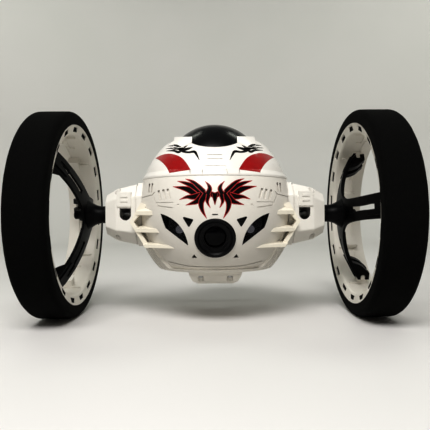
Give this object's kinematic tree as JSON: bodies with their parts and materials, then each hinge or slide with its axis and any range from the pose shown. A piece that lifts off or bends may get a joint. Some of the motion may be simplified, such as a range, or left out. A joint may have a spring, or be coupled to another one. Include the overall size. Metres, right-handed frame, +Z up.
{
  "type": "two wheel jumping robot car",
  "caption": "Toy robot car with a ball body, smoked dome and front lens, two large foam-tyred wheels on geared arms and a spring kicker at the back.",
  "frame": {"origin": "on the floor, midway between the wheels and under the axle line", "axes": "+X along the axle to the car's left-hand wheel as seen from behind it, -Y the way the lens looks, +Z up"},
  "size_m": [0.286, 0.17, 0.17],
  "materials": {
    "arm_white": "moulded ABS, satin gloss",
    "battery_blue": "shrink wrap",
    "black_plastic": "fine moulded texture",
    "brass": "machined",
    "circuit_green": "solder mask",
    "dark_window": "dark clear plastic",
    "foam_black": "closed-cell foam",
    "frame_grey": "moulded nylon",
    "gear_white": "acetal",
    "ivory_plastic": "moulded ABS, satin gloss",
    "kicker_white": "moulded nylon",
    "led_clear": "clear epoxy",
    "lens_glass": "dark coated lens",
    "mask_white": "satin moulded ABS",
    "motor_steel": "plated can",
    "rim_white": "moulded nylon",
    "rubber_black": "moulded rubber",
    "shell_warm_white": "moulded ABS, satin gloss",
    "shell_white": "smooth moulded ABS with a fine gloss",
    "smoked_plastic": "smoked clear plastic, high gloss",
    "spider_black": "moulded nylon, satin",
    "spring_steel": "drawn wire",
    "steel": "bright",
    "switch_red": "moulded"
  },
  "bodies": {
    "body": {"upper_shell": "shell_white", "dome_cover": "smoked_plastic", "dome_insert": "black_plastic", "face_plate": "mask_white", "lens_bezel": "black_plastic", "lens_glass": "lens_glass", "camera_module": "black_plastic", "headlight_window_left": "dark_window", "headlight_window_right": "dark_window", "headlight_leds": "led_clear", "sensor_windows": "dark_window", "cheek_left": "ivory_plastic", "cheek_right": "ivory_plastic", "lower_shell": "shell_warm_white", "rear_cover": "mask_white", "arm_upper_left": "arm_white", "arm_lower_left": "arm_white", "arm_upper_right": "arm_white", "arm_lower_right": "arm_white", "gearbox_frame_left": "frame_grey", "gearbox_frame_right": "frame_grey", "drive_motor_left": "motor_steel", "drive_motor_right": "motor_steel", "axle_bush_left": "brass", "axle_bush_right": "brass", "idler_pins": "steel", "main_board": "circuit_green", "battery_pack": "battery_blue", "shell_screws": "steel", "charge_socket": "black_plastic", "switch_frame": "black_plastic", "kicker_bracket": "frame_grey", "kicker_pins": "steel", "kicker_springs": "spring_steel", "kicker_motor": "motor_steel"},
    "wheel_left": {"axle_left": "steel", "drive_gear_left": "gear_white", "wheel_spider_left": "spider_black", "rim_left": "rim_white", "tyre_left": "foam_black", "hub_cap_left": "spider_black", "spoke_screws_left": "steel"},
    "wheel_right": {"axle_right": "steel", "drive_gear_right": "gear_white", "wheel_spider_right": "spider_black", "rim_right": "rim_white", "tyre_right": "foam_black", "hub_cap_right": "spider_black", "spoke_screws_right": "steel"},
    "idler_left": {"idler_gear_left": "gear_white"},
    "idler_right": {"idler_gear_right": "gear_white"},
    "pinion_left": {"motor_pinion_left": "brass"},
    "pinion_right": {"motor_pinion_right": "brass"},
    "kicker": {"kicker_arm": "kicker_white", "kicker_foot": "rubber_black"},
    "winder": {"winding_gear": "gear_white"},
    "kicker_pinion": {"kicker_motor_pinion": "brass"},
    "switch": {"switch_slider": "switch_red"},
    "door": {"battery_door": "shell_warm_white", "battery_door_screws": "steel"}
  },
  "joints": [
    {"name": "wheel_left_spin", "type": "hinge", "parent": "body", "child": "wheel_left", "pos_m": [-0.113, 0, 0.085], "axis": [1, 0, 0], "continuous": true},
    {"name": "idler_left_spin", "type": "hinge", "parent": "body", "child": "idler_left", "pos_m": [-0.045, 0.01061, 0.09561], "axis": [1, 0, 0], "continuous": true},
    {"name": "pinion_left_spin", "type": "hinge", "parent": "body", "child": "pinion_left", "pos_m": [-0.042, 0.02289, 0.087], "axis": [1, 0, 0], "continuous": true},
    {"name": "wheel_right_spin", "type": "hinge", "parent": "body", "child": "wheel_right", "pos_m": [0.113, 0, 0.085], "axis": [1, 0, 0], "continuous": true},
    {"name": "idler_right_spin", "type": "hinge", "parent": "body", "child": "idler_right", "pos_m": [0.045, 0.01061, 0.09561], "axis": [1, 0, 0], "continuous": true},
    {"name": "pinion_right_spin", "type": "hinge", "parent": "body", "child": "pinion_right", "pos_m": [0.042, 0.02289, 0.087], "axis": [1, 0, 0], "continuous": true},
    {"name": "kicker_swing", "type": "hinge", "parent": "body", "child": "kicker", "pos_m": [0, 0.022, 0.049], "axis": [-1, 0, 0], "range_deg": [0, 66], "deforming": ["kicker_springs"]},
    {"name": "winder_spin", "type": "hinge", "parent": "body", "child": "winder", "pos_m": [0.008, 0.01516, 0.06779], "axis": [-1, 0, 0], "range_deg": [-265, 1]},
    {"name": "kicker_pinion_spin", "type": "hinge", "parent": "body", "child": "kicker_pinion", "pos_m": [0.011, 0.00366, 0.06779], "axis": [-1, 0, 0], "range_deg": [-1, 951.4]},
    {"name": "switch_slide", "type": "slide", "parent": "body", "child": "switch", "axis": [1, 0, 0], "range_m": [0, 0.0044]},
    {"name": "battery_door_lift", "type": "slide", "parent": "body", "child": "door", "axis": [0, 0, -1], "range_m": [0, 0.024]}
  ],
  "couplings": [
    {"joint": "idler_left_spin", "follows": "wheel_left_spin", "ratio": -3.1667},
    {"joint": "pinion_left_spin", "follows": "wheel_left_spin", "ratio": 12.667},
    {"joint": "idler_right_spin", "follows": "wheel_right_spin", "ratio": -3.1667},
    {"joint": "pinion_right_spin", "follows": "wheel_right_spin", "ratio": 12.667},
    {"joint": "winder_spin", "follows": "kicker_swing", "ratio": -4},
    {"joint": "kicker_pinion_spin", "follows": "kicker_swing", "ratio": 14.4}
  ]
}
